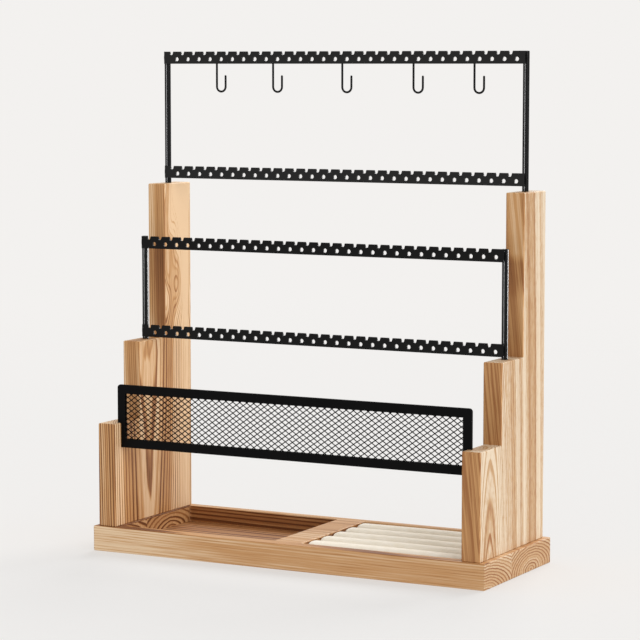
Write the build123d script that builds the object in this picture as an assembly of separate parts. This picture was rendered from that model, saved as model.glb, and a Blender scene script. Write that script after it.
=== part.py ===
from build123d import *
from math import atan2, ceil, cos, degrees, hypot, pi, sin, sqrt
import os

# A free-standing jewellery stand: a wooden base with two recesses, two stepped side panels,
# two lift-out steel frames of pierced strips, a lift-out mesh screen and a velvet ring pad.
# Millimetres. X runs to the right, Y to the back, Z up; the origin is the centre of the underside.

# Base board
base_width = 340.0
base_depth = 124.0
base_thickness = 20.0
board_chamfer = 0.8

# Recesses in the base: an open tray on the left and the bed of the ring pad on the right
recess_depth = 13.0
recess_corner_radius = 2.0
front_lip = 11.0
back_lip = 8.0
divider_width = 24.0

# Stepped side panels; the tier heights are above the base's top
panel_thickness = 15.2
panel_end_inset = 4.5
panel_front_inset = 1.5
low_tier_depth = 37.5
middle_tier_depth = 39.4
top_tier_depth = 41.1
low_tier_height = 82.0
middle_tier_height = 144.0
top_tier_height = 268.2

# Countersunk wood screws up through the base into each panel
screw_length = 38.0
screw_diameter = 3.5
screw_head_diameter = 7.0
screw_head_height = 2.4
screw_point_length = 5.0
screw_point_diameter = 0.9
screw_sink = 0.4
screw_end_distance = 20.0
screw_clearance = 0.05
pilot_spare = 1.0

# Small rounds that repeat are cut as polygons with this many sides, on the true circle
small_round_sides = 8

# Round rods that stand in blind sockets in the tiers
rod_diameter = 5.0
socket_depth = 20.0
socket_clearance = 0.06
top_rod_setback = 19.0
middle_rod_setback = 22.0

# Pierced strips welded across the front of each pair of rods
strip_height = 9.8
strip_thickness = 1.6
strip_end_setback = 1.7
strip_end_margin = 6.0
hang_pitch = 10.3
hole_diameter = 3.3
hole_height = 3.7
notch_mouth = 3.9
notch_floor = 2.4
notch_depth = 2.8
top_frame_gap = 4.2
top_frame_height = 102.0
middle_frame_gap = 2.1
middle_frame_height = 81.0

# Wire hooks behind the top strip, each under the notch nearest to its place
hook_count = 5
hook_spacing = 58.0
hook_wire_diameter = 1.7
hook_width = 8.0
hook_drop = 23.0
hook_tip_drop = 9.0
hook_tab_width = 3.0
hook_tab_thickness = 1.0
hook_tab_rise = 1.5
hook_tab_below_notch = 1.0

# Mesh screen in a folded channel border that stands in two slots of the low tiers
screen_height = 50.0
screen_thickness = 3.0
screen_corner_radius = 2.5
border_width = 7.0
border_wall = 0.6
seam_width = 0.3
strand_width = 0.8
strand_thickness = 0.8
mesh_edge_clearance = 0.3
cell_width = 6.16
cell_height = 4.27
slot_depth = 4.0
slot_drop = 19.5
slot_setback = 9.4
slot_clearance = 0.2
screen_side_clearance = 0.6

# Ring pad: a card tray bottom with soft rolls side by side
roll_count = 5
roll_rise = 1.5
roll_crown = 9.0
roll_gap = 0.3
pad_base_thickness = 2.0
pad_clearance = 0.2

# Places worked out from the sizes above
front = -base_depth / 2
back = base_depth / 2
panel_outer = base_width / 2 - panel_end_inset
panel_inner = panel_outer - panel_thickness
panel_middle = (panel_outer + panel_inner) / 2
panel_front = front + panel_front_inset
first_step = panel_front + low_tier_depth
second_step = first_step + middle_tier_depth
panel_back = second_step + top_tier_depth
low_top = base_thickness + low_tier_height
middle_top = base_thickness + middle_tier_height
top_top = base_thickness + top_tier_height
recess_floor = base_thickness - recess_depth
recess_length = panel_inner - divider_width / 2
recess_width = base_depth - front_lip - back_lip
recess_middle_x = (panel_inner + divider_width / 2) / 2
recess_middle_y = (front_lip - back_lip) / 2
rod_radius = rod_diameter / 2
middle_rod_y = first_step + middle_rod_setback
top_rod_y = second_step + top_rod_setback
strip_length = 2 * (panel_middle + rod_radius - strip_end_setback)
hang_count = int((strip_length - 2 * strip_end_margin) / hang_pitch + 0.5)
first_notch = -(hang_count - 0.5) * hang_pitch / 2
notch_places = [first_notch + i * hang_pitch for i in range(hang_count)]
hole_places = [x + hang_pitch / 2 for x in notch_places]


def block(low, high):
    """A box between two opposite corners."""
    size = [h - l for l, h in zip(low, high)]
    return Pos(*low) * Box(*size, align=(Align.MIN, Align.MIN, Align.MIN))


def above(edges, height):
    """The edges whose middle lies higher than a level."""
    return [edge for edge in edges if edge.center().Z > height]


def small_round(radius):
    """A small circle with few sides, two of them upright."""
    return RegularPolygon(radius, small_round_sides, major_radius=False, rotation=180 / small_round_sides)


def screw_places(side):
    """Both screw positions under one panel; side is -1 on the left and 1 on the right."""
    ends = (panel_front + screw_end_distance, panel_back - screw_end_distance)
    return [(side * panel_middle, y) for y in ends]


def wood_screw(clearance=0.0):
    """A countersunk screw, point up from the underside; with a clearance it is the hole for it."""
    shank = small_round(screw_diameter / 2 + clearance)
    head = small_round(screw_head_diameter / 2 + clearance)
    point = small_round(screw_point_diameter / 2 + clearance)
    point_start = screw_length - screw_point_length
    stations = [
        (0, head),
        (screw_head_height, shank),
        (point_start, shank),
        (screw_length, point),
    ]
    return loft([Pos(0, 0, height) * outline for height, outline in stations], ruled=True)


def panel_screws():
    places = screw_places(-1) + screw_places(1)
    return Compound([Pos(x, y, screw_sink) * wood_screw() for x, y in places])


def recess(side):
    """The pocket on one side of the divider, open upwards, with rounded corners."""
    outline = RectangleRounded(recess_length, recess_width, recess_corner_radius)
    pocket = extrude(outline, recess_depth)
    return Pos(side * recess_middle_x, recess_middle_y, recess_floor) * pocket


def base_board():
    board = Pos(0, 0, base_thickness / 2) * Box(base_width, base_depth, base_thickness)
    board = chamfer(above(board.edges(), 0), board_chamfer)
    board -= recess(-1) + recess(1)
    mouth = extrude(small_round(screw_head_diameter / 2 + screw_clearance), screw_sink)
    screw_hole = mouth + Pos(0, 0, screw_sink) * wood_screw(screw_clearance)
    for x, y in screw_places(-1) + screw_places(1):
        board -= Pos(x, y, 0) * screw_hole
    return board


def side_panel(side):
    """A stepped board with blind rod sockets in two tiers and the screen's slot in the low one."""
    outline = Polyline(
        (panel_front, base_thickness),
        (panel_front, low_top),
        (first_step, low_top),
        (first_step, middle_top),
        (second_step, middle_top),
        (second_step, top_top),
        (panel_back, top_top),
        (panel_back, base_thickness),
        close=True,
    )
    profile = make_face(Plane.YZ.offset(panel_inner) * outline)
    board = extrude(profile, panel_thickness, dir=(1, 0, 0))
    inner_corners = ((first_step, low_top), (second_step, middle_top))
    eased = []
    for edge in above(board.edges(), base_thickness):
        middle = edge.center()
        along_x = abs(middle.X - panel_middle) < panel_thickness / 4
        if along_x and any(hypot(middle.Y - y, middle.Z - z) < board_chamfer for y, z in inner_corners):
            continue
        eased.append(edge)
    board = chamfer(eased, board_chamfer)
    for y, top in ((middle_rod_y, middle_top), (top_rod_y, top_top)):
        socket = Cylinder(rod_radius + socket_clearance, 2 * socket_depth)
        board -= Pos(panel_middle, y, top) * socket
    slot_front = panel_front + slot_setback
    slot_back = slot_front + screen_thickness + 2 * slot_clearance
    board -= block(
        (panel_inner - slot_depth, slot_front, low_top - slot_drop),
        (panel_inner + slot_depth, slot_back, low_top + slot_drop),
    )
    pilot_top = screw_sink + screw_length + pilot_spare
    pilot = extrude(small_round(screw_diameter / 2 + screw_clearance), pilot_top)
    for x, y in screw_places(1):
        board -= Pos(x, y, 0) * pilot
    return board if side > 0 else mirror(board, about=Plane.YZ)


def rod(side, y, tier_top, top):
    """A straight rod from the floor of its socket to the top of its frame."""
    foot = tier_top - socket_depth
    cylinder = Cylinder(rod_radius, top - foot, align=(Align.CENTER, Align.CENTER, Align.MIN))
    return Pos(side * panel_middle, y, foot) * cylinder


def pierced_strip(back_y, bottom):
    """A flat strip with tapered notches along its top edge and a hole half a pitch after each notch."""
    half_mouth = notch_mouth / 2
    notch_radius = notch_floor / 2
    throat = notch_depth - notch_radius
    taper = [
        (-notch_radius, -throat),
        (notch_radius, -throat),
        (half_mouth, 0),
        (half_mouth, throat),
        (-half_mouth, throat),
        (-half_mouth, 0),
    ]
    notch = Pos(0, -throat) * small_round(notch_radius)
    notch += Polygon(*taper, align=None)
    outline = Pos(0, strip_height / 2) * Rectangle(strip_length, strip_height)
    outline -= [Pos(x, strip_height) * notch for x in notch_places]
    outline -= [Pos(x, hole_height) * small_round(hole_diameter / 2) for x in hole_places]
    upright = Plane(origin=(0, back_y, bottom), x_dir=(1, 0, 0), z_dir=(0, -1, 0))
    return extrude(upright * outline, strip_thickness)


def wire_hook(place, back_y, strip_bottom):
    """A J of round wire whose stem is pressed flat at the top and welded behind the strip."""
    wire_radius = hook_wire_diameter / 2
    bend_radius = hook_width / 2
    tab_bottom = strip_bottom + hook_tab_rise
    tab_top = strip_bottom + strip_height - notch_depth - hook_tab_below_notch
    bend_level = strip_bottom - hook_drop + wire_radius + bend_radius
    points = [(place, tab_bottom + wire_radius)]
    for i in range(small_round_sides + 1):
        turn = pi * (1 + i / small_round_sides)
        points.append((place + bend_radius * (1 + cos(turn)), bend_level + bend_radius * sin(turn)))
    points.append((place + hook_width, strip_bottom - hook_tip_drop))
    upright = Plane(origin=(0, back_y + wire_radius, 0), x_dir=(1, 0, 0), z_dir=(0, -1, 0))
    path = upright * Polyline(*points)
    section = Plane(origin=path @ 0, z_dir=path % 0) * small_round(wire_radius)
    wire = sweep(section, path, transition=Transition.RIGHT)
    tab = block(
        (place - hook_tab_width / 2, back_y, tab_bottom),
        (place + hook_tab_width / 2, back_y + hook_tab_thickness, tab_top),
    )
    return wire + tab


def hook_places():
    """The notches nearest to an even spacing from the middle notch."""
    middle = notch_places[hang_count // 2]
    wanted = [middle + (i - (hook_count - 1) / 2) * hook_spacing for i in range(hook_count)]
    return [min(notch_places, key=lambda x: abs(x - place)) for place in wanted]


def frame_pieces(name, rod_y, tier_top, gap, height):
    """The two rods and two strips of one lift-out frame."""
    top = tier_top + gap + height
    back_y = rod_y - rod_radius
    return {
        f"{name}_left_rod": rod(-1, rod_y, tier_top, top),
        f"{name}_right_rod": rod(1, rod_y, tier_top, top),
        f"{name}_upper_strip": pierced_strip(back_y, top - strip_height),
        f"{name}_lower_strip": pierced_strip(back_y, tier_top + gap),
    }


screen_length = 2 * (panel_inner + slot_depth - screen_side_clearance)
screen_bottom = low_top - slot_drop
screen_middle_y = panel_front + slot_setback + slot_clearance + screen_thickness / 2
screen_middle_z = screen_bottom + screen_height / 2
screen_plane = Plane(origin=(0, screen_middle_y, screen_middle_z), x_dir=(1, 0, 0), z_dir=(0, -1, 0))


def screen_border():
    """A sheet channel folded round the mesh's edge; its two ends meet below in the middle."""
    outer = RectangleRounded(screen_length, screen_height, screen_corner_radius)
    window = Rectangle(screen_length - 2 * border_width, screen_height - 2 * border_width)
    groove = Rectangle(screen_length - 2 * border_wall, screen_height - 2 * border_wall)
    ring = extrude(outer - window, screen_thickness / 2, both=True)
    ring -= extrude(groove, screen_thickness / 2 - border_wall, both=True)
    seam = Box(seam_width, border_width, screen_thickness)
    ring -= Pos(0, (border_width - screen_height) / 2, 0) * seam
    return screen_plane * ring


def screen_mesh():
    """Two layers of straight strands that cross in diamonds, cut to the border's groove."""
    half_length = screen_length / 2 - border_wall - mesh_edge_clearance - strand_width
    half_height = screen_height / 2 - border_wall - mesh_edge_clearance - strand_width
    lean = half_height / cell_height
    reach = ceil(half_length / cell_width + lean)
    strand_step = hypot(cell_width, cell_height)
    strands = []
    for layer in (-1, 1):
        turn = layer * degrees(atan2(cell_height, cell_width))
        for i in range(-reach, reach + 1):
            start = max(-lean, -half_length / cell_width - i)
            end = min(lean, half_length / cell_width - i)
            if end - start < 1:
                continue
            middle = (start + end) / 2
            place = ((i + middle) * cell_width, layer * middle * cell_height, layer * strand_thickness / 2)
            strand = Box((end - start) * strand_step, strand_width, strand_thickness)
            strands.append(screen_plane * Pos(*place) * Rot(0, 0, turn) * strand)
    return Compound(strands)


# A square corner of the pad clears the recess's round corner by the pad's clearance
pad_gap = recess_corner_radius * (1 - sqrt(0.5)) + pad_clearance
pad_length = recess_length - 2 * pad_gap
pad_width = recess_width - 2 * pad_gap
roll_pitch = pad_width / roll_count


def ring_pad_base():
    card = Box(pad_length, pad_width, pad_base_thickness)
    return Pos(recess_middle_x, recess_middle_y, recess_floor + pad_base_thickness / 2) * card


def ring_roll(number):
    """One soft roll along X, flat underneath, with an oval crown above the base's top."""
    half = (roll_pitch - roll_gap) / 2
    shoulder = recess_depth - pad_base_thickness + roll_rise - roll_crown
    sides = Polyline((half, shoulder), (half, 0), (-half, 0), (-half, shoulder))
    crown = EllipticalCenterArc((0, shoulder), half, roll_crown, start_angle=0, arc_size=180)
    profile = make_face(sides + crown)
    middle_y = recess_middle_y - pad_width / 2 + (number - 0.5) * roll_pitch
    seat = recess_floor + pad_base_thickness
    left_end = (recess_middle_x - pad_length / 2, middle_y, seat)
    start = Plane(origin=left_end, x_dir=(0, 1, 0), z_dir=(1, 0, 0))
    return extrude(start * profile, pad_length)


nodes = {
    "base_board": base_board(),
    "left_side_panel": side_panel(-1),
    "right_side_panel": side_panel(1),
    "panel_screws": panel_screws(),
    "screen_border": screen_border(),
    "screen_mesh": screen_mesh(),
    "ring_pad_base": ring_pad_base(),
}
nodes |= frame_pieces("top_frame", top_rod_y, top_top, top_frame_gap, top_frame_height)
nodes |= frame_pieces("middle_frame", middle_rod_y, middle_top, middle_frame_gap, middle_frame_height)
upper_strip_bottom = top_top + top_frame_gap + top_frame_height - strip_height
for number, place in enumerate(hook_places(), 1):
    nodes[f"necklace_hook_{number}"] = wire_hook(place, top_rod_y - rod_radius, upper_strip_bottom)
for number in range(1, roll_count + 1):
    nodes[f"ring_roll_{number}"] = ring_roll(number)

os.makedirs("parts", exist_ok=True)
for name, shape in nodes.items():
    export_step(shape, f"parts/{name}.step")
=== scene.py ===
# %% [markdown]
# # A stepped jewellery stand
# The stand is a pine base with two stepped side panels. Two black steel frames of pierced strips, a mesh
# screen and a velvet ring pad lift out of it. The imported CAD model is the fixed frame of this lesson: it
# gives every size and place, and each piece made here stands where its CAD node stands.

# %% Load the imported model
from math import atan2, ceil, cos, pi, radians, sin

import bmesh
import bpy
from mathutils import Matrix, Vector


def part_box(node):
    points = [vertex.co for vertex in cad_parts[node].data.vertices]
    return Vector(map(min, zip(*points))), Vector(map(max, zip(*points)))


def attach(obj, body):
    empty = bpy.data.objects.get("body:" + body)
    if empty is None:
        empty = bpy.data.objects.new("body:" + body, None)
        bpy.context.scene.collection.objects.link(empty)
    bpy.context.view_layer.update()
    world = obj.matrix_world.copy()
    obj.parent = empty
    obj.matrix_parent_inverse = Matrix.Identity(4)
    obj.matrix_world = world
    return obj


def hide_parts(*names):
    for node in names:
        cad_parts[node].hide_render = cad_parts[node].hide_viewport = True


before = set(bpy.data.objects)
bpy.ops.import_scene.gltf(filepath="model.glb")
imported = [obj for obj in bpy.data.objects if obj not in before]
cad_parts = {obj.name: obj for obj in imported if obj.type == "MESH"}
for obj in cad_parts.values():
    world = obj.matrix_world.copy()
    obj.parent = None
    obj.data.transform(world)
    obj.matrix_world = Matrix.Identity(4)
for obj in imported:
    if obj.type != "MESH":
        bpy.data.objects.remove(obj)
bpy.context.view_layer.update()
MM = 0.001


# %% [markdown]
# The camera comes first, because every later look is compared with the photograph. It was solved from
# corners of the boards and frames: a long lens, a little to the right and a little above. It aims at one
# point of the stand, so its turn is the direction from there to the camera.

# %% Camera
camera_azimuth = radians(27.945)
camera_elevation = radians(5.715)
camera_distance = 1.983639
camera_target = Vector((0, 1.412 * MM, 186.213 * MM))
camera_lens = 143.4
camera_sensor = 36.0

bpy.ops.object.select_all(action="DESELECT")
bpy.ops.object.camera_add()
camera = bpy.context.object
flat = cos(camera_elevation)
towards_camera = Vector((sin(camera_azimuth) * flat, -cos(camera_azimuth) * flat, sin(camera_elevation)))
camera.location = camera_target + towards_camera * camera_distance
camera.rotation_euler = towards_camera.to_track_quat("Z", "Y").to_euler()
camera.data.lens = camera_lens
camera.data.sensor_width = camera_sensor
bpy.context.scene.camera = camera
print("camera at", [round(v, 4) for v in camera.location])

# %% [markdown]
# A finish is a tree of shader nodes. Written by hand, such a tree is long and hard to read, so one small
# class wraps a socket: sums on it add Math nodes, and a few methods add the other nodes. Places on a
# surface are counted in millimetres, and all other lengths of this lesson in metres.

# %% Shader sums
class Field:
    """A value that changes over a surface, as one output socket of a node tree."""

    def __init__(self, tree, socket=None):
        self.tree = tree
        self.socket = socket

    def node(self, kind, settings=None, values=None, output=0):
        """Adds a node: its settings first, then the values or links of its sockets."""
        made = self.tree.nodes.new("ShaderNode" + kind)
        for name, setting in (settings or {}).items():
            setattr(made, name, setting)
        for name, value in (values or {}).items():
            if isinstance(value, Field):
                self.tree.links.new(value.socket, made.inputs[name])
            else:
                made.inputs[name].default_value = value
        return Field(self.tree, made.outputs[output] if made.outputs else None)

    def math(self, operation, *values):
        return self.node("Math", {"operation": operation}, dict(enumerate(values)))

    def __add__(self, other):
        return self.math("ADD", self, other)

    def __sub__(self, other):
        return self.math("SUBTRACT", self, other)

    def __mul__(self, other):
        return self.math("MULTIPLY", self, other)

    def __truediv__(self, other):
        return self.math("DIVIDE", self, other)

    def __rsub__(self, other):
        return self.math("SUBTRACT", other, self)

    __radd__ = __add__
    __rmul__ = __mul__

    def axis(self, letter):
        """One coordinate of a vector."""
        return self.node("SeparateXYZ", {}, {0: self}, letter)

    def rise(self, low, high):
        """A smooth step from 0 at low to 1 at high."""
        values = {"Value": self, "From Min": low, "From Max": high}
        return self.node("MapRange", {"interpolation_type": "SMOOTHSTEP"}, values)

    def past(self, edge, start, end):
        """A smooth step whose start and end are given in millimetres past an edge."""
        return self.rise(edge / MM + start, edge / MM + end)

    def stretch(self, *factors):
        """A vector with each axis multiplied by its factor."""
        return self.node("VectorMath", {"operation": "MULTIPLY"}, {0: self, 1: factors})

    def noise(self, *lengths, detail=2.0, output=0):
        """Noise whose lumps have about these lengths along the three axes of a vector."""
        scaled = self.stretch(*[1 / length for length in lengths])
        return self.node("TexNoise", {}, {"Vector": scaled, "Scale": 1.0, "Detail": detail}, output)

    def mix(self, first, second):
        """Two colours, mixed by this value. A Mix node has its colours on sockets 6 and 7."""
        return self.node("Mix", {"data_type": "RGBA"}, {0: self, 6: first, 7: second}, output=2)

    def mix_places(self, first, second):
        """Two places, mixed by this value. A Mix node has its vectors on sockets 4 and 5."""
        return self.node("Mix", {"data_type": "VECTOR"}, {0: self, 4: first, 5: second}, output=1)


# %% [markdown]
# Every finish starts with the place on the surface and ends with a bump under a Principled shader. Where
# faces of one board differ, masks are weighed: each adds its share to a base value.

# %% Start and end of a finish
def new_finish(name):
    """An empty material, and the place on the surface in millimetres."""
    finish = bpy.data.materials.new(name)
    finish.use_nodes = True
    finish.node_tree.nodes.clear()
    root = Field(finish.node_tree)
    place = root.node("TexCoord", {}, {}, "Object").stretch(1 / MM, 1 / MM, 1 / MM)
    return finish, place


def weigh(base, *shares):
    """A base value plus zones or patterns, each times its share."""
    for zone, share in shares:
        base = base + zone * share
    return base


def coat(place, bump_height, bump_depth, values):
    """Closes a finish: a bump in millimetres and a Principled surface."""
    bump = place.node("Bump", {}, {"Height": bump_height, "Strength": 1.0, "Distance": bump_depth * MM})
    surface = place.node("BsdfPrincipled", {}, {**values, "Normal": bump})
    place.node("OutputMaterial", {}, {"Surface": surface})


# %% [markdown]
# The stand was photographed on a white table without a horizon. A plain pale disc that fades out towards
# its rim gives the same. It is half lit from below, as a light table is, so that shadows stay faint.

# %% Floor
floor_radius = 2.6
floor_sides = 96
floor_fade = (500.0, 2300.0)
floor_tint = (0.93, 0.93, 0.93, 1)
floor_glow = 0.55
backdrop = (0.896, 0.880, 0.863, 1)

bpy.ops.object.select_all(action="DESELECT")
bpy.ops.mesh.primitive_circle_add(vertices=floor_sides, radius=floor_radius, fill_type="NGON")
floor = bpy.context.object
floor.name = "floor"
floor_finish, place = new_finish("pale_floor")
distance = place.node("VectorMath", {"operation": "LENGTH"}, {0: place}, "Value")
matt = place.node("BsdfDiffuse", {}, {"Color": floor_tint})
glow = place.node("Emission", {}, {"Color": backdrop})
table = place.node("MixShader", {}, {0: floor_glow, 1: matt, 2: glow})
gone = place.node("BsdfTransparent")
shown = place.node("MixShader", {}, {0: distance.rise(*floor_fade), 1: table, 2: gone})
place.node("OutputMaterial", {}, {"Surface": shown})
floor.data.materials.append(floor_finish)
print("floor radius in m:", floor_radius)

# %% [markdown]
# The pale surroundings light everything softly, a broad light from behind casts the shadow in front of the
# base, and a side light brightens the right-hand faces. A flag keeps the side light off the floor: in
# Blender that is light linking. Two narrow lights are there for the thin highlights on the rods alone, and
# are linked to them where the rods are made.

# %% Light
ambient_strength = 0.70
lamps = {
    "back_light": {"strength": 1.6, "azimuth": 178, "elevation": 36, "width": 40},
    "side_light": {"strength": 1.8, "azimuth": 72, "elevation": 30, "width": 60},
    "rod_light": {"strength": 2.4, "azimuth": -18, "elevation": -3, "width": 14},
    "edge_light": {"strength": 5.0, "azimuth": 138, "elevation": 0, "width": 18},
}

bpy.context.scene.view_settings.view_transform = "Standard"
world = bpy.data.worlds.new("studio")
world.use_nodes = True
world.node_tree.nodes.clear()
bpy.context.scene.world = world
sky = Field(world.node_tree)
seen = sky.node("LightPath", {}, {}, "Is Camera Ray")
strength = ambient_strength + seen * (1 - ambient_strength)
surroundings = sky.node("Background", {}, {"Color": backdrop, "Strength": strength})
sky.node("OutputWorld", {}, {"Surface": surroundings})

for name, lamp in lamps.items():
    turn = (radians(90 - lamp["elevation"]), 0, radians(lamp["azimuth"]))
    bpy.ops.object.light_add(type="SUN", rotation=turn)
    light = bpy.context.object
    light.name = name
    light.data.energy = lamp["strength"]
    light.data.angle = radians(lamp["width"])
flagged = bpy.data.collections.new("flagged_off")
flagged.objects.link(floor)
flagged.collection_objects[0].light_linking.link_state = "EXCLUDE"
bpy.data.objects["side_light"].light_linking.receiver_collection = flagged

# %% [markdown]
# The boards are scorched and brushed pine: brown fields, thin pale lines between them and dark latewood.
# Growth rings are cylinders round the pith of the log, so one pattern of the distance from an axis gives
# flames on the broad faces, straight lines on the edges and arcs on the end grain, all of one piece, which
# no flat picture of wood does. The first step is that distance, from an axis that is bent as a trunk is.

# %% Distance from the pith
log_bend = (70, 70, 330)
grain_bend = (10, 10, 140)
grain_sway = 1.3


def ring_distance(log, lumpy, sway, oval):
    """How far a point of a log is from its bent pith; lumpy is the place that the bends are read at."""
    bent = log
    for lengths, amount in ((log_bend, sway), (grain_bend, grain_sway)):
        lump = lumpy.noise(*lengths, detail=1.0, output=1)
        lump = log.node("VectorMath", {"operation": "SUBTRACT"}, {0: lump, 1: (0.5, 0.5, 0.5)})
        bend = {0: lump, 1: (amount, amount, 0), 2: bent}
        bent = log.node("VectorMath", {"operation": "MULTIPLY_ADD"}, bend)
    return log.node("VectorMath", {"operation": "LENGTH"}, {0: bent.stretch(1, oval, 0)}, "Value")


def ring_noise(radius, length, seed, **settings):
    """Noise that changes only from ring to ring."""
    values = {"W": radius / length + seed, "Scale": 1.0, **settings}
    return radius.node("TexNoise", {"noise_dimensions": "1D"}, values)


# %% [markdown]
# The second step colours the rings. Latewood lines, broad zones of growth, streaks and fibres are added up
# to one measure of scorch, which runs through four tints from pale to dark. Three sets of tints serve the
# golden, the warm and the cooler faces, and only their pale ends differ.

# %% Pine
pine_brown = (0.33, 0.135, 0.043, 1)
pine_line = (0.15, 0.050, 0.014, 1)
gold_pine = ((0.80, 0.56, 0.34, 1), (0.58, 0.31, 0.125, 1), pine_brown, pine_line)
warm_pine = ((0.80, 0.60, 0.39, 1), (0.56, 0.30, 0.125, 1), pine_brown, pine_line)
cool_pine = ((0.72, 0.59, 0.435, 1), (0.52, 0.32, 0.16, 1), pine_brown, pine_line)
drift_length = 15
growth_length = 16
late_start = (0.40, 0.80)
late_end = (0.88, 1.0)
faintest_line = 0.25
band_edge = (0.6, 1.1)
fibre_size = (0.6, 0.6, 40)
streak_size = (1.6, 1.6, 90)
dark_fibre = (0.45, 0.75)
to_tan = (0.28, 0.54)
to_brown = (0.52, 0.78)
to_dark = (0.80, 1.12)
grain_depth = 0.10


def pine(finish, place, tints, pith, turn, ring_width, uneven, lines, sway, mottle, tone, seed,
         oval=1, swirl=0, bands=()):
    """Scorched pine whose log axis passes through pith (mm); turn is that axis's turn from upright.

    Lines is the strength of the latewood, sway bends the log (mm), mottle is how much the rings differ, and
    tone moves the board from pale (below 0) to brown. Oval stretches the rings sideways where it is below
    1, and swirl moves them in or out in places (mm). Each band is a broad zone of rings: its distance from
    the pith, its half width (mm), and how much browner it is.
    """
    pale, tan, brown, dark = tints
    centred = place.node("VectorMath", {"operation": "SUBTRACT"}, {0: place, 1: pith})
    log = place.node("Mapping", {"vector_type": "TEXTURE"}, {"Vector": centred, "Rotation": turn})
    shifted = place.node("VectorMath", {"operation": "ADD"}, {0: log, 1: (seed, seed, seed)})
    radius = ring_distance(log, shifted, sway, oval) + swirl
    rings = radius / ring_width + ring_noise(radius, drift_length, seed) * uneven
    ring = rings.math("FLOOR", rings)
    phase = rings - ring
    boldness = log.node("TexWhiteNoise", {"noise_dimensions": "1D"}, {"W": ring + seed})
    late = phase.rise(*late_start) * (1 - phase.rise(*late_end))
    line = late * (faintest_line + boldness * (1 - faintest_line)) * lines
    growth = ring_noise(radius, growth_length, seed, Detail=3.0, Roughness=0.62)
    scorch = (growth - 0.5) * mottle + 0.5 + tone
    for middle_radius, half_width, amount in bands:
        off_centre = radius.math("ABSOLUTE", radius - middle_radius)
        outside = off_centre.rise(half_width * band_edge[0], half_width * band_edge[1])
        scorch = scorch + (1 - outside) * amount
    fibre = shifted.noise(*fibre_size, detail=3.0)
    streak = shifted.noise(*streak_size)
    scorch = weigh(scorch, (streak - 0.5, 0.30), (line, 0.55), (fibre.rise(*dark_fibre), 0.17))
    grained = scorch.rise(*to_tan).mix(pale, tan)
    grained = scorch.rise(*to_brown).mix(grained, brown)
    grained = scorch.rise(*to_dark).mix(grained, dark)
    values = {"Base Color": grained, "Roughness": weigh(0.40, (fibre, 0.2)), "Specular IOR Level": 0.3}
    coat(place, line * 0.6 + fibre * 0.5, grain_depth, values)
    return finish


# %% [markdown]
# The steel is sprayed with a black powder coat. It is never quite smooth: the powder melts into a fine
# orange peel, which breaks up the highlights. One recipe serves three coats: satin on the rods, the hooks
# and the middle frame, and dull on the screen. The top frame's strips get a glossier copy of the satin,
# which stands in for the extra light that those strips catch.

# %% Black coats
black_tints = ((0.002, 0.002, 0.0022, 1), (0.004, 0.004, 0.0042, 1))
peel_size = (0.7, 0.7, 0.7)
peel_depth = 0.02
cloud_size = (18, 18, 18)


def black_coat(name, roughness, specular):
    """Powder coat whose peel changes its roughness a little from spot to spot."""
    finish, place = new_finish(name)
    peel = place.noise(*peel_size, detail=3.0)
    cloud = place.noise(*cloud_size)
    values = {"Base Color": cloud.mix(*black_tints), "Specular IOR Level": specular}
    values["Roughness"] = weigh(roughness, (peel, 0.16))
    coat(place, peel, peel_depth, values)
    return finish


satin_black = black_coat("satin_black_coat", roughness=0.14, specular=0.18)
# a glossier copy of the satin coat, standing in for the extra light the top frame's strips catch
lit_strip_black = black_coat("lit_strip_black_coat", roughness=0.20, specular=0.38)
dull_black = black_coat("dull_black_coat", roughness=0.34, specular=0.06)
print("black coats:", satin_black.name, lit_strip_black.name, dull_black.name)

# %% [markdown]
# The velvet has a short cream pile that catches light at its edges, so it gets some sheen besides its bump.
# The pad's bottom is grey board with a few darker hairs in its pulp, and the screws are zinc plated with a
# fine spangle. Each is two or three layers of noise, because no two spots of such a surface are alike.

# %% Velvet, board and zinc
velvet_tints = ((0.91, 0.845, 0.72, 1), (0.95, 0.895, 0.79, 1))
velvet_shade = (0.83, 0.73, 0.58, 1)
velvet_sheen = {"Sheen Weight": 0.5, "Sheen Roughness": 0.45, "Sheen Tint": (1.0, 0.96, 0.88, 1)}
pile_size = (0.45, 0.45, 0.45)
pile_depth = 0.12
brushed_size = (9, 5, 9)
board_tints = ((0.36, 0.33, 0.28, 1), (0.52, 0.48, 0.42, 1))
board_hair = (0.22, 0.20, 0.17, 1)
pulp_size = (1.2, 1.2, 0.4)
pulp_depth = 0.05
hair_size = (6, 0.4, 0.4)
zinc_tints = ((0.50, 0.50, 0.47, 1), (0.68, 0.68, 0.64, 1))
spangle_size = (0.8, 0.8, 0.8)
spangle_depth = 0.01


def cream_velvet():
    finish, place = new_finish("cream_velvet")
    pile = place.noise(*pile_size)
    brushed = place.noise(*brushed_size)
    tint = brushed.rise(0.35, 0.7).mix(*velvet_tints)
    tint = (pile.rise(0.3, 0.7) * 0.20).mix(tint, velvet_shade)
    values = {"Base Color": tint, "Roughness": weigh(0.85, (pile, 0.1)), "Specular IOR Level": 0.15}
    coat(place, pile + brushed * 0.5, pile_depth, values | velvet_sheen)
    return finish


def grey_board():
    finish, place = new_finish("grey_board")
    pulp = place.noise(*pulp_size, detail=4.0)
    hair = place.noise(*hair_size)
    tint = (hair.rise(0.62, 0.72) * 0.5).mix(pulp.mix(*board_tints), board_hair)
    coat(place, pulp, pulp_depth, {"Base Color": tint, "Roughness": weigh(0.85, (pulp, 0.1))})
    return finish


def zinc():
    finish, place = new_finish("zinc_plate")
    spangle = place.noise(*spangle_size, detail=3.0)
    values = {"Base Color": spangle.mix(*zinc_tints), "Metallic": 1.0}
    values["Roughness"] = weigh(0.26, (spangle, 0.2))
    coat(place, spangle, spangle_depth, values)
    return finish


velvet = cream_velvet()
board = grey_board()
plated = zinc()
print("other finishes:", velvet.name, board.name, plated.name)

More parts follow.
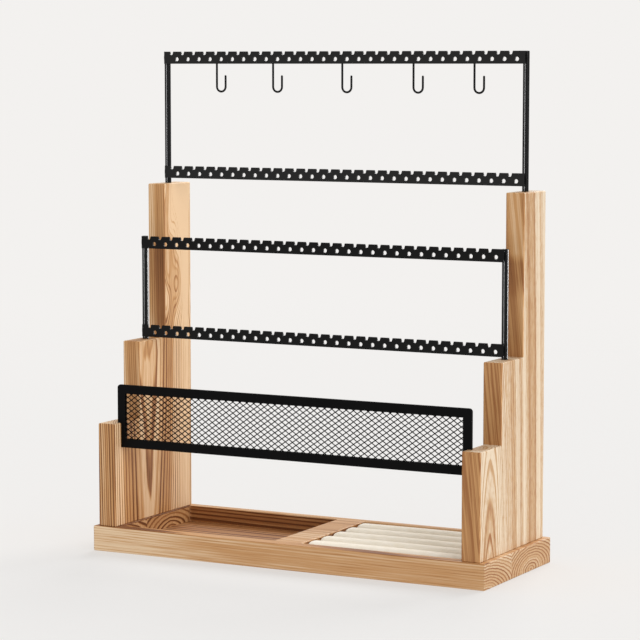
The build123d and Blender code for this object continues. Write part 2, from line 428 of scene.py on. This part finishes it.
# %% [markdown]
# Pieces are modelled as by hand: add a primitive with nothing else selected, put its place into its mesh,
# open it in edit mode, select by place and work with the usual operators. These few helpers keep the
# later steps short.

# %% Adding and picking
corner_angle = radians(60)


def choose(piece):
    """Makes a piece the only selected and active one."""
    bpy.ops.object.select_all(action="DESELECT")
    piece.select_set(True)
    bpy.context.view_layer.objects.active = piece


def add(name, primitive, **settings):
    """Adds a primitive under a name, with its place in its mesh."""
    bpy.ops.object.select_all(action="DESELECT")
    primitive(**settings)
    piece = bpy.context.object
    piece.name = name
    piece.data.name = name
    bpy.ops.object.transform_apply(location=True, rotation=True, scale=True)
    return piece


def block(name, low, high):
    """A cube between two opposite corners."""
    low, high = Vector(low), Vector(high)
    return add(name, bpy.ops.mesh.primitive_cube_add, size=1, location=(low + high) / 2, scale=high - low)


def pick(piece, kind, test):
    """In edit mode, selects only the vertices, edges or faces that pass a test."""
    bpy.ops.mesh.select_mode(type=kind)
    bpy.ops.mesh.select_all(action="DESELECT")
    mesh = bmesh.from_edit_mesh(piece.data)
    parts = {"VERT": mesh.verts, "EDGE": mesh.edges, "FACE": mesh.faces}[kind]
    for part in parts:
        if test(part):
            part.select_set(True)
    mesh.select_flush_mode()
    bmesh.update_edit_mesh(piece.data)


def middle(edge):
    """The midpoint of an edge."""
    return (edge.verts[0].co + edge.verts[1].co) / 2


def faces_up(face):
    return face.normal.z > 0.5


def is_corner(edge):
    """True on an edge where two faces meet in an outer corner."""
    return edge.is_manifold and edge.calc_face_angle_signed(0) > corner_angle


# %% [markdown]
# A piece is finished with modifiers that are applied at once, cut with others, copied or joined. At the end
# it is dressed: smooth shading with even normals, its finish, the body that it moves with and the CAD nodes
# that it stands for.

# %% Finishing and dressing
smooth_angle = radians(35)


def finish_with(piece, kind, **settings):
    """Adds a modifier and applies it."""
    choose(piece)
    modifier = piece.modifiers.new(kind.lower(), kind)
    for name, value in settings.items():
        setattr(modifier, name, value)
    bpy.ops.object.modifier_apply(modifier=modifier.name)


def cut(piece, cutter):
    """Takes the cutter's shape away from a piece."""
    finish_with(piece, "BOOLEAN", operation="DIFFERENCE", object=cutter, solver="EXACT")
    bpy.data.objects.remove(cutter)


def twin(piece, name, shift):
    """A copy with its own mesh, moved."""
    choose(piece)
    bpy.ops.object.duplicate(linked=False)
    copy = bpy.context.object
    copy.name = name
    copy.data.name = name
    bpy.ops.transform.translate(value=shift)
    bpy.ops.object.transform_apply(location=True, rotation=True, scale=True)
    return copy


def join(name, pieces):
    """Several pieces as one object."""
    choose(pieces[0])
    for piece in pieces:
        piece.select_set(True)
    bpy.ops.object.join()
    pieces[0].name = name
    pieces[0].data.name = name
    return pieces[0]


def dress(piece, finish, body, slot, *nodes):
    """Gives a piece its finish, its body and the CAD nodes that it stands for."""
    choose(piece)
    bpy.ops.object.shade_smooth_by_angle(angle=smooth_angle)
    finish_with(piece, "WEIGHTED_NORMAL", keep_sharp=True)
    piece.data.materials.clear()
    piece.data.materials.append(finish)
    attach(piece, body)
    if nodes:
        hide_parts(*nodes)
    print(piece.name, "on", body, "faces", len(piece.data.polygons), "for", *nodes)


# %% [markdown]
# The base is one thick board with two pockets routed into it. Cuts with bisect lay a grid over the cube,
# the two pocket fields are extruded downwards, and the pockets' upright corners are rounded as a router
# leaves them. All outer corners are then eased, because a hand would feel a sharp one.

# %% Base board
recess_corner_radius = 2.0 * MM
recess_corner_steps = 5
eased_edge = 0.9 * MM
eased_steps = 3
base_low, base_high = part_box("base_board")
recess_inner = 12.0 * MM
recess_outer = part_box("right_side_panel")[0].x
recess_front = base_low.y + 11.0 * MM
recess_back = base_high.y - 8.0 * MM
recess_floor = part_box("ring_pad_base")[0].z
recess_depth = base_high.z - recess_floor


def in_recess(point):
    """True where a point of the board's top lies over a pocket."""
    return recess_inner < abs(point.x) < recess_outer and recess_front < point.y < recess_back


def is_recess_corner(edge):
    """True on an upright edge between two walls of a pocket."""
    upright = abs(edge.verts[0].co.z - edge.verts[1].co.z) > recess_depth / 2
    walls = {round(x, 5) for x in (recess_inner, recess_outer)}
    return upright and round(abs(middle(edge).x), 5) in walls and middle(edge).z > recess_floor


base = block("stand_base", base_low, base_high)
bpy.ops.object.mode_set(mode="EDIT")
for x in (-recess_outer, -recess_inner, recess_inner, recess_outer):
    bpy.ops.mesh.select_all(action="SELECT")
    bpy.ops.mesh.bisect(plane_co=(x, 0, 0), plane_no=(1, 0, 0))
for y in (recess_front, recess_back):
    bpy.ops.mesh.select_all(action="SELECT")
    bpy.ops.mesh.bisect(plane_co=(0, y, 0), plane_no=(0, 1, 0))
pick(base, "FACE", lambda face: faces_up(face) and in_recess(face.calc_center_median()))
bpy.ops.mesh.extrude_region_move(TRANSFORM_OT_translate={"value": (0, 0, -recess_depth)})
pick(base, "EDGE", is_recess_corner)
print("pocket corners:", sum(e.select for e in bmesh.from_edit_mesh(base.data).edges))
bpy.ops.mesh.bevel(offset=recess_corner_radius, segments=recess_corner_steps, affect="EDGES")
pick(base, "EDGE", is_corner)
bpy.ops.mesh.bevel(offset=eased_edge, segments=eased_steps, affect="EDGES")
bpy.ops.object.mode_set(mode="OBJECT")

# %% [markdown]
# The base is glued up from two staves, each from its own log that lies along the board. Its pockets are
# browner and their lines bolder. The ends are cooler end grain, a painted shade line darkens the eased edge
# where the panels' feet meet the pockets, and painted light makes the front paler towards its left end.
# Masks from the board's own sizes find these zones, so the pattern itself runs on from face to face.

# %% Base finish
stave_joint = -13.0
stave_piths = ((0, -60, -4), (0, 24, 3))
# span along X (mm) over which the base front's painted light fades in towards the left
painted_light_span = (-160, -20)

finish, place = new_finish("base_pine")
along = place.math("ABSOLUTE", place.axis("X"))
across = place.axis("Y")
height = place.axis("Z")
between_lips = across.past(recess_front, -0.8, -0.4) * (1 - across.past(recess_back, 0.4, 0.8))
below_rim = height.past(recess_floor, -1.5, -0.5) * (1 - height.past(base_high.z, -1.1, -0.6))
pocket = below_rim * (1 - along.past(recess_outer, 0.5, 0.9)) * between_lips
end_wall = pocket * along.past(recess_outer, -0.5, -0.2)
at_foot = along.past(recess_outer, -0.3, -0.1) * (1 - along.past(recess_outer, 1.0, 1.3))
# painted shade: a dark line on the eased top edge where a panel's foot meets the pocket, over that edge's
# highlight
foot_shade_line = height.past(base_high.z, -1.4, -1.0) * at_foot * between_lips
front_lip = height.past(base_high.z, -0.7, -0.3) * (1 - across.past(recess_front, -0.4, 0.0))
front_face = 1 - across.past(base_low.y, 0.4, 1.0)
# painted light: the front face is paler towards its left end, where more light falls on it
painted_light_front = front_face * (1 - place.axis("X").rise(*painted_light_span))
end_grain = along.past(base_high.x, -1.0, -0.5)
behind = across.math("GREATER_THAN", across, stave_joint)
base_lines = weigh(0.45, (pocket, 0.9), (end_wall, 0.4), (front_lip, 0.9), (front_face, -0.2))
base_lines = weigh(base_lines, (end_grain, 0.45))
base_tone = weigh(-0.06, (pocket, 0.20), (end_wall, -0.12), (front_lip, 0.10), (painted_light_front, -0.15))
base_tone = weigh(base_tone, (end_grain, 0.02), (foot_shade_line, 0.45))
base_pine = pine(
    finish, place, tints=[end_grain.mix(warm, cool) for warm, cool in zip(warm_pine, cool_pine)],
    pith=behind.mix_places(*stave_piths), turn=(0, radians(90.4), 0), oval=0.45,
    ring_width=weigh(2.0, (end_wall, 1.2)), uneven=1.0, lines=base_lines, sway=2,
    mottle=weigh(0.5, (front_face, -0.2)), tone=base_tone, seed=3.7)
print("finish:", base_pine.name)

# %% [markdown]
# Four countersunk screws come up through the base into the panels. Each is a cone head on a shank with a
# cross recess, turned from a circle by extruding and scaling its end. Only the heads show, from below.

# %% Screws
screw_low, screw_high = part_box("panel_screws")
screw_sides = 24
head_radius = 3.5 * MM
head_height = 2.4 * MM
shank_radius = 1.75 * MM
point_length = 5.0 * MM
point_taper = 0.2
cross_length = 4.2 * MM
cross_width = 0.9 * MM
cross_depth = 1.5 * MM
screw_x = screw_high.x - head_radius
screw_ys = (screw_low.y + head_radius, screw_high.y - head_radius)


def lengthen(shift, factor):
    """Extrudes the selected end, moves it along and scales it about its own middle."""
    bpy.ops.mesh.extrude_region_move(TRANSFORM_OT_translate={"value": shift})
    mesh = bmesh.from_edit_mesh(bpy.context.object.data)
    chosen = [v.co for v in mesh.verts if v.select]
    centre = sum(chosen, Vector()) / len(chosen)
    bpy.ops.transform.resize(value=factor, center_override=centre)


def screw_body(name, x, y):
    """The turned outline of a screw: head, shank and point."""
    screw = add(name, bpy.ops.mesh.primitive_circle_add, vertices=screw_sides, radius=head_radius,
                fill_type="NGON", location=(x, y, screw_low.z))
    bpy.ops.object.mode_set(mode="EDIT")
    bpy.ops.mesh.select_all(action="SELECT")
    thin = shank_radius / head_radius
    lengthen((0, 0, head_height), (thin, thin, 1))
    lengthen((0, 0, screw_high.z - screw_low.z - head_height - point_length), (1, 1, 1))
    lengthen((0, 0, point_length), (point_taper, point_taper, 1))
    bpy.ops.mesh.select_all(action="SELECT")
    bpy.ops.mesh.normals_make_consistent(inside=False)
    bpy.ops.object.mode_set(mode="OBJECT")
    return screw


def wood_screw(name, x, y):
    """A screw with a cross recess in its head."""
    screw = screw_body(name, x, y)
    for length, width in ((cross_length, cross_width), (cross_width, cross_length)):
        reach = Vector((length / 2, width / 2, cross_depth))
        centre = Vector((x, y, screw_low.z))
        cut(screw, block("cross", centre - reach, centre + reach))
    return screw


screws = []
for x in (-screw_x, screw_x):
    for y in screw_ys:
        screws.append(wood_screw("screw", x, y))
        cut(base, screw_body("countersink", x, y))
        well = add("well", bpy.ops.mesh.primitive_cylinder_add, vertices=screw_sides, radius=head_radius,
                   depth=2 * screw_low.z, location=(x, y, 0))
        cut(base, well)
dress(join("countersunk_screws", screws), plated, "stand", "zinc_screw", "panel_screws")
dress(base, base_pine, "stand", "pine", "base_board")

# %% [markdown]
# The two panels come from different logs. The left one has dark, close lines, browner fronts and, high up,
# a swirl as round a knot. The right one is paler and cooler, with broad flames low down. Behind the middle
# frame both fronts get a painted shadow of its upper strip, darkest just below it. A mask for the upright
# fronts follows the three steps of a panel, so that one pattern can have a tone of its own there.

# %% Panel finishes
first_step = -23.0 * MM
second_step = 16.4 * MM
low_tier = 102.0 * MM
middle_tier = 164.0 * MM
tier_gap = 0.3 * MM
front_skin = (0.3, 1.2)
panel_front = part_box("left_side_panel")[0].y
behind_strip = (234, 244)
left_shade = (140, 220)
right_shade = (205, 225)
swirl_height = (150, 210)
swirl_size = (30, 24, 75)
swirl_depth = 34


def on_fronts(place):
    """1 on the upright fronts of a stepped panel, and 1 on those above its low tier."""
    height = place.axis("Z")
    second = height.math("GREATER_THAN", height, (low_tier + tier_gap) / MM)
    third = height.math("GREATER_THAN", height, (middle_tier + tier_gap) / MM)
    step_back = weigh(panel_front / MM, (second, (first_step - panel_front) / MM),
                      (third, (second_step - first_step) / MM))
    fronts = 1 - (place.axis("Y") - step_back).rise(*front_skin)
    return fronts, fronts * second


def painted_strip_shadow(place, low, high):
    """Painted shadow of the middle frame's upper strip: darker upwards from low to high, ends behind it."""
    height = place.axis("Z")
    return height.rise(low, high) * (1 - height.rise(*behind_strip))


finish, place = new_finish("left_panel_pine")
fronts, upper_fronts = on_fronts(place)
aloft = place.axis("Z").rise(*swirl_height) * (1 - fronts)
# painted shadow of the middle frame's upper strip on the left panel's fronts
shade = fronts * painted_strip_shadow(place, *left_shade)
left_pine = pine(
    finish, place, tints=gold_pine, pith=(-92, -12, 20), turn=(radians(0.4), radians(-1.6), 0),
    ring_width=1.75, uneven=2, lines=weigh(1.4, (fronts, 0.7), (upper_fronts, -1.6), (aloft, -0.7)), sway=7,
    mottle=weigh(1.2, (upper_fronts, -0.6)), seed=17.3,
    tone=weigh(-0.16, (fronts, 0.40), (upper_fronts, -0.33), (aloft, -0.12), (shade, 0.30)),
    swirl=aloft * (place.noise(*swirl_size, detail=1.0) - 0.5) * swirl_depth,
    bands=((58, 3, 0.06), (64, 4, 0.06), (77, 9, -0.16)))

finish, place = new_finish("right_panel_pine")
fronts = on_fronts(place)[0]
# painted shadow of the middle frame's upper strip on the right panel's fronts
shade = fronts * painted_strip_shadow(place, *right_shade)
right_pine = pine(
    finish, place, tints=[fronts.mix(cool, gold) for cool, gold in zip(cool_pine, gold_pine)],
    pith=(154, -42, 20), turn=(0, radians(-6.0), 0), ring_width=2.2, uneven=3,
    lines=weigh(0.70, (fronts, -0.40)), sway=4, mottle=weigh(0.85, (fronts, -0.45)), seed=41.9,
    tone=weigh(-0.16, (fronts, 0.29), (shade, 0.22)),
    bands=((66, 3, -0.20), (79, 9, 0.13), (92, 3, -0.24)))
print("finishes:", left_pine.name, right_pine.name)

# %% [markdown]
# Each side panel is one board sawn in three steps. A cube of the low tier is cut across at both steps, and
# the parts behind them are pulled up in turn. After the corners are eased, two rod sockets and the slot
# for the screen are cut in, where the lift-out pieces stand.

# %% Side panels
socket_clearance = 0.06 * MM
socket_sides = 32
slot_side_clearance = 0.2 * MM
slot_end_clearance = 0.6 * MM


def side_panel(name, side, finish):
    """A stepped board with two rod sockets and a slot, on one side of the stand."""
    low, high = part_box(f"{side}_side_panel")
    panel = block(name, low, (high.x, high.y, low_tier))
    bpy.ops.object.mode_set(mode="EDIT")
    for y in (first_step, second_step):
        bpy.ops.mesh.select_all(action="SELECT")
        bpy.ops.mesh.bisect(plane_co=(0, y, 0), plane_no=(0, 1, 0))
    for y, rise in ((first_step, middle_tier - low_tier), (second_step, high.z - middle_tier)):
        pick(panel, "FACE", lambda face: faces_up(face) and face.calc_center_median().y > y)
        bpy.ops.mesh.extrude_region_move(TRANSFORM_OT_translate={"value": (0, 0, rise)})
    pick(panel, "EDGE", is_corner)
    bpy.ops.mesh.bevel(offset=eased_edge, segments=eased_steps, affect="EDGES")
    bpy.ops.object.mode_set(mode="OBJECT")
    for rod in (f"top_frame_{side}_rod", f"middle_frame_{side}_rod"):
        foot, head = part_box(rod)
        radius = (head.x - foot.x) / 2 + socket_clearance
        cut(panel, add("socket", bpy.ops.mesh.primitive_cylinder_add, vertices=socket_sides, radius=radius,
                       depth=head.z - foot.z, location=(foot + head) / 2))
    edge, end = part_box("screen_border")
    gap = Vector((slot_end_clearance, slot_side_clearance, 0))
    cut(panel, block("slot", edge - gap, end + gap))
    dress(panel, finish, "stand", "pine", f"{side}_side_panel")


side_panel("left_stepped_panel", "left", left_pine)
side_panel("right_stepped_panel", "right", right_pine)

# %% [markdown]
# A pierced strip is a flat bar with notches along its top and a hole between each two notches. One hole
# cutter and one notch cutter are lined up with an Array and taken out with a Boolean, then a Bevel rounds
# every edge a little, as tumbling and the coat do. The other three strips are copies.

# %% Pierced strips
hang_pitch = 10.3 * MM
hang_count = 30
hole_radius = 1.65 * MM
hole_height = 3.7 * MM
notch_mouth = 3.6 * MM
notch_floor = 2.7 * MM
notch_depth = 2.8 * MM
cutter_length = 8.0 * MM
cutter_sides = 24
strip_rounding = 0.22 * MM
rounding_steps = 2
rounded_angle = radians(40)
first_notch = -(hang_count - 0.5) * hang_pitch / 2


def row_of(piece, count, pitch):
    """Repeats a piece along X."""
    finish_with(piece, "ARRAY", count=count, use_relative_offset=False, use_constant_offset=True,
                constant_offset_displace=(pitch, 0, 0))
    return piece


def round_cutter(radius, x, y, z):
    """A cylinder that lies across a strip."""
    return add("round_cutter", bpy.ops.mesh.primitive_cylinder_add, vertices=cutter_sides, radius=radius,
               depth=cutter_length, location=(x, y, z), rotation=(pi / 2, 0, 0))


def throat_cutter(low, high, floor_z):
    """A wedge as wide as a notch's floor below and as wide as its mouth at the strip's top edge."""
    narrow_low = (first_notch - notch_floor / 2, low.y - MM, floor_z)
    narrow_high = (first_notch + notch_floor / 2, high.y + MM, 2 * high.z - floor_z)
    wedge = block("throat", narrow_low, narrow_high)
    bpy.ops.object.mode_set(mode="EDIT")
    pick(wedge, "VERT", lambda vertex: vertex.co.z > high.z)
    widest = 2 * notch_mouth - notch_floor
    bpy.ops.transform.resize(value=(widest / notch_floor, 1, 1), center_override=(first_notch, 0, 0))
    bpy.ops.object.mode_set(mode="OBJECT")
    return wedge


def pierced_strip(name, node):
    """A bar with a row of holes and a row of notches."""
    low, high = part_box(node)
    strip = block(name, low, high)
    y = (low.y + high.y) / 2
    notch_middle = high.z - notch_depth + notch_floor / 2
    hole = round_cutter(hole_radius, first_notch + hang_pitch / 2, y, low.z + hole_height)
    cut(strip, row_of(hole, hang_count, hang_pitch))
    cut(strip, row_of(round_cutter(notch_floor / 2, first_notch, y, notch_middle), hang_count, hang_pitch))
    cut(strip, row_of(throat_cutter(low, high, notch_middle), hang_count, hang_pitch))
    finish_with(strip, "BEVEL", width=strip_rounding, segments=rounding_steps, limit_method="ANGLE",
                angle_limit=rounded_angle)
    return strip


first_strip = "top_frame_upper_strip"
strip = pierced_strip("pierced_strip", first_strip)
# the top frame's strips take the glossier copy that stands in for the light they catch
for body, coating in (("top_frame", lit_strip_black), ("middle_frame", satin_black)):
    for level in ("upper", "lower"):
        node = f"{body}_{level}_strip"
        copy = twin(strip, node + "_pierced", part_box(node)[0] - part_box(first_strip)[0])
        dress(copy, coating, body, "black_coat", node)
bpy.data.objects.remove(strip)

# %% [markdown]
# Each pair of strips is welded to two round rods. A rod is a cylinder with a small turned edge at both
# ends, and a thin bead of weld lies on each side of it behind every strip. The rods are put into the two
# collections that the narrow lights are linked to: one light draws a line on all four, the other brightens
# the right edge of the middle frame's rods, which stand in front of the wood.

# %% Rods and welds
rod_sides = 40
rod_end_rounding = 0.5 * MM
rod_end_steps = 3
bead_radius = 0.55 * MM
bead_length = 7.0 * MM
bead_sides = 12
bead_rings = 10
bead_spread = 0.3
bead_sink = 0.6
rods_only = bpy.data.collections.new("rods_only")
middle_rods_only = bpy.data.collections.new("middle_rods_only")
bpy.data.objects["rod_light"].light_linking.receiver_collection = rods_only
bpy.data.objects["edge_light"].light_linking.receiver_collection = middle_rods_only


def steel_rod(node, body):
    """A rod in its CAD place, dressed and lit by the narrow lights."""
    low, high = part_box(node)
    rod = add(node + "_round", bpy.ops.mesh.primitive_cylinder_add, vertices=rod_sides,
              radius=(high.x - low.x) / 2, depth=high.z - low.z, location=(low + high) / 2)
    bpy.ops.object.mode_set(mode="EDIT")
    pick(rod, "EDGE", is_corner)
    bpy.ops.mesh.bevel(offset=rod_end_rounding, segments=rod_end_steps, affect="EDGES")
    bpy.ops.object.mode_set(mode="OBJECT")
    dress(rod, satin_black, body, "black_coat", node)
    rods_only.objects.link(rod)
    if body == "middle_frame":
        middle_rods_only.objects.link(rod)


def weld_bead(x, y, z):
    """A ball stretched to a thin bead."""
    return add("bead", bpy.ops.mesh.primitive_uv_sphere_add, segments=bead_sides, ring_count=bead_rings,
               radius=bead_radius, location=(x, y, z), scale=(1, 1, bead_length / 2 / bead_radius))


for body in ("top_frame", "middle_frame"):
    beads = []
    for side in ("left", "right"):
        steel_rod(f"{body}_{side}_rod", body)
        rod_low, rod_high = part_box(f"{body}_{side}_rod")
        for level in ("upper", "lower"):
            strip_low, strip_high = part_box(f"{body}_{level}_strip")
            for turn in (-1, 1):
                x = (rod_low.x + rod_high.x) / 2 + turn * (rod_high.x - rod_low.x) * bead_spread
                y = strip_high.y + bead_radius * bead_sink
                beads.append(weld_bead(x, y, (strip_low.z + strip_high.z) / 2))
    dress(join(f"{body}_weld_beads", beads), satin_black, body, "black_coat")

# %% [markdown]
# A necklace hook is a J of round wire. A circle is spun through half a turn for the bend, one end is drawn
# up to a rounded tip, and the other is drawn up as the stem and pressed flat where it is welded on.

# %% Necklace hooks
wire_radius = 0.85 * MM
wire_sides = 14
hook_width = 8.0 * MM
bend_steps = 16
tip_below_strip = 9.0 * MM
tip_dome = 0.9 * wire_radius
tip_steps = ((0.45, 0.90), (0.30, 0.75), (0.25, 0.45))
tab_half_width = 1.5 * MM
tab_thickness = 1.0 * MM
tab_rise = 1.5 * MM
tab_rounding = 0.4 * MM
tab_taper = 0.8
flare_length = 1.5 * MM
strip_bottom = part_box(first_strip)[0].z


def necklace_hook(name, node):
    """One hook in its CAD place: bend, tip, stem and pressed tab."""
    low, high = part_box(node)
    stem_x = low.x + tab_half_width
    y = low.y + wire_radius
    bend_radius = hook_width / 2
    bend_z = low.z + wire_radius + bend_radius
    hook = add(name, bpy.ops.mesh.primitive_circle_add, vertices=wire_sides, radius=wire_radius,
               fill_type="NOTHING", location=(stem_x, y, bend_z))
    bpy.ops.object.mode_set(mode="EDIT")
    bpy.ops.mesh.select_mode(type="EDGE")
    bpy.ops.mesh.select_all(action="SELECT")
    bpy.ops.mesh.spin(steps=bend_steps, angle=pi, center=(stem_x + bend_radius, y, bend_z), axis=(0, 1, 0))
    lengthen((0, 0, strip_bottom - tip_below_strip - bend_z - tip_dome), (1, 1, 1))
    for share, factor in tip_steps:
        lengthen((0, 0, tip_dome * share), (factor, factor, 1))
    bpy.ops.mesh.edge_face_add()
    pick(hook, "EDGE", lambda edge: edge.is_boundary and abs(middle(edge).x - stem_x) < bend_radius)
    lengthen((0, 0, strip_bottom + tab_rise - bend_z), (1, 1, 1))
    press = tab_thickness / (2 * wire_radius)
    pressed_back = tab_thickness / 2 - wire_radius
    lengthen((0, pressed_back, flare_length), (tab_half_width / wire_radius, press, 1))
    lengthen((0, 0, high.z - strip_bottom - tab_rise - flare_length - tab_rounding), (1, 1, 1))
    lengthen((0, 0, tab_rounding), (tab_taper, tab_taper, 1))
    bpy.ops.mesh.edge_face_add()
    bpy.ops.mesh.select_all(action="SELECT")
    bpy.ops.mesh.remove_doubles(threshold=MM / 1000)
    bpy.ops.mesh.normals_make_consistent(inside=False)
    bpy.ops.object.mode_set(mode="OBJECT")
    return hook


hook_nodes = sorted(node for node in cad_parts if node.startswith("necklace_hook"))
hook = necklace_hook("necklace_hook", hook_nodes[0])
for node in hook_nodes:
    copy = twin(hook, node + "_wire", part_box(node)[0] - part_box(hook_nodes[0])[0])
    dress(copy, satin_black, "top_frame", "black_coat", node)
bpy.data.objects.remove(hook)

# %% [markdown]
# The screen's border is thin sheet folded into a channel. A slab with rounded corners and rolled edges
# loses its window, then the groove that holds the mesh, then the narrow seam where its ends meet below.

# %% Screen border
border_width = 7.0 * MM
border_wall = 0.6 * MM
border_corner_radius = 2.5 * MM
border_corner_steps = 6
fold_rounding = 0.7 * MM
fold_steps = 4
seam_width = 0.3 * MM
screen_low, screen_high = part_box("screen_border")
screen_middle = (screen_low + screen_high) / 2
border = block("screen_channel", screen_low, screen_high)
bpy.ops.object.mode_set(mode="EDIT")
pick(border, "EDGE", lambda edge: abs(edge.verts[0].co.y - edge.verts[1].co.y) > MM)
bpy.ops.mesh.bevel(offset=border_corner_radius, segments=border_corner_steps, affect="EDGES")
pick(border, "EDGE", is_corner)
bpy.ops.mesh.bevel(offset=fold_rounding, segments=fold_steps, affect="EDGES")
bpy.ops.object.mode_set(mode="OBJECT")
window_inset = Vector((border_width, -border_width, border_width))
cut(border, block("window", screen_low + window_inset, screen_high - window_inset))
groove_inset = Vector((border_wall, border_wall, border_wall))
cut(border, block("groove", screen_low + groove_inset, screen_high - groove_inset))
seam_low = Vector((-seam_width / 2, screen_low.y - MM, screen_low.z - MM))
seam_high = Vector((seam_width / 2, screen_high.y + MM, screen_low.z + border_width + MM))
cut(border, block("seam", seam_low, seam_high))
dress(border, dull_black, "mesh_screen", "black_coat", "screen_border")

# %% [markdown]
# The mesh is two layers of thin wires that cross in diamonds and are fused where they cross. One slanting
# wire is repeated along the screen with an Array, and bisect trims the row to the groove.

# %% Screen mesh
cell_width = 6.16 * MM
cell_height = 4.27 * MM
wire_thickness = 0.8 * MM
mesh_wire_sides = 8
layer_offset = 0.3 * MM
groove_gap = 0.6 * MM
mesh_inset = border_wall + groove_gap
mesh_half = (screen_high - screen_low) / 2 - Vector((mesh_inset, 0, mesh_inset))


def wire_layer(name, side):
    """One layer of parallel wires, leaning to one side."""
    lean = atan2(cell_width, cell_height)
    reach = ceil((mesh_half.x + mesh_half.z * cell_width / cell_height) / cell_width)
    place = (-reach * cell_width, screen_middle.y - side * layer_offset, screen_middle.z)
    length = 2 * (mesh_half.z / cos(lean) + wire_thickness)
    layer = add(name, bpy.ops.mesh.primitive_cylinder_add, vertices=mesh_wire_sides,
                radius=wire_thickness / 2, depth=length, location=place, rotation=(0, side * lean, 0))
    row_of(layer, 2 * reach + 1, cell_width)
    bpy.ops.object.mode_set(mode="EDIT")
    for normal in (Vector((1, 0, 0)), Vector((-1, 0, 0)), Vector((0, 0, 1)), Vector((0, 0, -1))):
        bpy.ops.mesh.select_all(action="SELECT")
        edge = screen_middle + normal * abs(normal.dot(mesh_half))
        bpy.ops.mesh.bisect(plane_co=edge, plane_no=normal, use_fill=True, clear_outer=True)
    bpy.ops.object.mode_set(mode="OBJECT")
    return layer


wires = join("screen_wires", [wire_layer("wires_up", 1), wire_layer("wires_down", -1)])
dress(wires, dull_black, "mesh_screen", "black_coat", "screen_mesh")

# %% [markdown]
# The ring pad is five soft rolls of velvet over foam on a grey board. A roll starts as a rounded bar a
# little smaller than its place. Remeshed evenly and blown up a little as cloth, with its flat underside
# held, it takes the uneven swell of a stuffed tube. One roll is made and copied.

# %% Foam bar
roll_inset = Vector((1.2 * MM, 0.9 * MM, 0))
roll_top_inset = 1.0 * MM
roll_crown = 7.0 * MM
roll_crown_steps = 8
roll_end_rounding = 2.5 * MM
roll_end_steps = 4
roll_nodes = sorted(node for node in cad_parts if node.startswith("ring_roll"))
roll_low, roll_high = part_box(roll_nodes[0])
bar_top = roll_high.z - roll_top_inset


def is_top_edge(edge):
    """True on the two long upper edges of a bar."""
    return abs(edge.verts[0].co.x - edge.verts[1].co.x) > MM and middle(edge).z > bar_top - MM


roll = block("velvet_roll", roll_low + roll_inset, roll_high - roll_inset - Vector((0, 0, roll_top_inset)))
bpy.ops.object.mode_set(mode="EDIT")
pick(roll, "EDGE", is_top_edge)
bpy.ops.mesh.bevel(offset=roll_crown, segments=roll_crown_steps, affect="EDGES")
pick(roll, "EDGE", lambda edge: is_corner(edge) and middle(edge).z > roll_low.z + MM)
bpy.ops.mesh.bevel(offset=roll_end_rounding, segments=roll_end_steps, affect="EDGES")
bpy.ops.object.mode_set(mode="OBJECT")
print("bar faces:", len(roll.data.polygons))

# %% [markdown]
# The cloth is stepped for a fixed number of frames under a little pressure. Its swell is then limited, and
# every point is kept inside the roll's own place, so that the pad keeps its size.

# %% Velvet rolls
voxel = 1.5 * MM
held_height = 0.6 * voxel
swell_limit = 1.6 * MM
swell_frames = 20
swell_pressure = 4.0
shortest_move = MM / 1e6


def stuffed(bar, low, high):
    """Blows a bar up as cloth, held at its underside, and keeps it inside its place."""
    choose(bar)
    bar.data.remesh_voxel_size = voxel
    bpy.ops.object.voxel_remesh()
    held = bar.vertex_groups.new(name="held")
    held.add([v.index for v in bar.data.vertices if v.co.z < low.z + held_height], 1.0, "REPLACE")
    before = [v.co.copy() for v in bar.data.vertices]
    cloth = bar.modifiers.new("stuffing", "CLOTH")
    cloth.settings.use_pressure = True
    cloth.settings.uniform_pressure_force = swell_pressure
    cloth.settings.effector_weights.gravity = 0.0
    cloth.settings.vertex_group_mass = held.name
    for step in range(1, swell_frames + 1):
        bpy.context.scene.frame_set(step)
    bpy.ops.object.modifier_apply(modifier=cloth.name)
    for vertex, start in zip(bar.data.vertices, before):
        moved = vertex.co - start
        moved *= min(1.0, swell_limit / max(moved.length, shortest_move))
        kept = start + moved
        vertex.co = [min(max(value, least), most) for value, least, most in zip(kept, low, high)]
    bpy.context.scene.frame_set(1)
    bar.vertex_groups.clear()


stuffed(roll, roll_low, roll_high)
finish_with(roll, "SUBSURF", levels=1, render_levels=1)
for node in roll_nodes:
    copy = twin(roll, node + "_velvet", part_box(node)[0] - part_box(roll_nodes[0])[0])
    dress(copy, velvet, "ring_pad", "cream_velvet", node)
bpy.data.objects.remove(roll)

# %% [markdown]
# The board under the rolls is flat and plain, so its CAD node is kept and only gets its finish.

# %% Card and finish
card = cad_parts["ring_pad_base"]
card.data.materials.clear()
card.data.materials.append(board)
